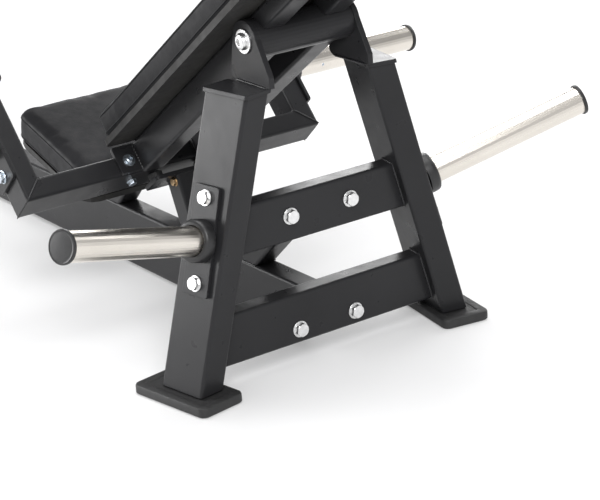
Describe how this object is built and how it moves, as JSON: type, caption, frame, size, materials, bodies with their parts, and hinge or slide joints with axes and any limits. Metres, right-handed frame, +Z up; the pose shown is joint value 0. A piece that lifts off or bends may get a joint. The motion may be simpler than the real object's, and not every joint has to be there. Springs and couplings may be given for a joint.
{
  "type": "leg press machine",
  "caption": "Plate-loaded leg machine: A-frame with storage horns, hinged U-lever with load horns, back pad and lap roller, fixed seat and foot plate.",
  "frame": {"origin": "on the floor, at the middle of the machine's bounding box", "axes": "+Z up; +Y towards the rear A-frame, -Y towards the foot plate; +X to the seated user's left"},
  "size_m": [1.296, 2.063, 0.8459],
  "materials": {
    "powder_coat": "satin black powder coat, fine orange peel",
    "chrome": "polished chrome plate",
    "zinc": "bright zinc plate",
    "bronze": "plain sintered bronze",
    "leatherette": "black grained leatherette",
    "rubber": "matt black rubber",
    "plastic": "black moulded plastic, fine grain",
    "plywood": "black painted plywood"
  },
  "bodies": {
    "frame": {"rear_leg_left": "powder_coat", "rear_leg_right": "powder_coat", "leg_cap_left": "powder_coat", "leg_cap_right": "powder_coat", "rear_foot_left": "rubber", "rear_foot_right": "rubber", "upper_cross_member": "powder_coat", "lower_cross_member": "powder_coat", "spine_beam": "powder_coat", "spine_brace": "powder_coat", "pivot_ear_left": "powder_coat", "pivot_ear_right": "powder_coat", "pivot_shaft": "zinc", "pivot_bolt_left": "chrome", "pivot_bolt_right": "chrome", "storage_horn_left": "chrome", "storage_horn_right": "chrome", "storage_horn_collar_left": "plastic", "storage_horn_collar_right": "plastic", "storage_horn_end_cap_left": "plastic", "storage_horn_end_cap_right": "plastic", "storage_horn_plate_left": "powder_coat", "storage_horn_plate_right": "powder_coat", "seat_pad": "leatherette", "seat_board": "plywood", "seat_support": "powder_coat", "rest_post": "powder_coat", "rest_bumper_left": "rubber", "rest_bumper_right": "rubber", "front_cross_tube": "powder_coat", "front_foot_left": "rubber", "front_foot_right": "rubber", "foot_plate": "powder_coat", "foot_plate_strut_left": "powder_coat", "foot_plate_strut_right": "powder_coat", "foot_plate_saddle": "powder_coat"},
    "lever": {"pivot_tube": "powder_coat", "pivot_bush_left": "bronze", "pivot_bush_right": "bronze", "lever_rail_left": "powder_coat", "rail_extension_left": "powder_coat", "lever_rail_right": "powder_coat", "rail_extension_right": "powder_coat", "lever_cross_tube": "powder_coat", "lever_arm_left": "powder_coat", "lever_arm_right": "powder_coat", "load_horn_left": "chrome", "load_horn_right": "chrome", "load_horn_collar_left": "plastic", "load_horn_collar_right": "plastic", "load_horn_end_cap_left": "plastic", "load_horn_end_cap_right": "plastic", "load_horn_plate_left": "powder_coat", "load_horn_plate_right": "powder_coat", "handle_left": "rubber", "handle_right": "rubber", "back_board": "plywood", "back_pad": "leatherette", "lap_axle": "chrome"},
    "roller": {"lap_roller": "leatherette"}
  },
  "joints": [
    {"name": "lever_hinge", "type": "hinge", "parent": "frame", "child": "lever", "pos_m": [0, 0.78782, 0.58], "axis": [-1, 0, 0], "range_deg": [0, 40]},
    {"name": "roller_spin", "type": "hinge", "parent": "lever", "child": "roller", "pos_m": [0, 0.00854, 0.60575], "axis": [1, 0, 0], "continuous": true}
  ]
}
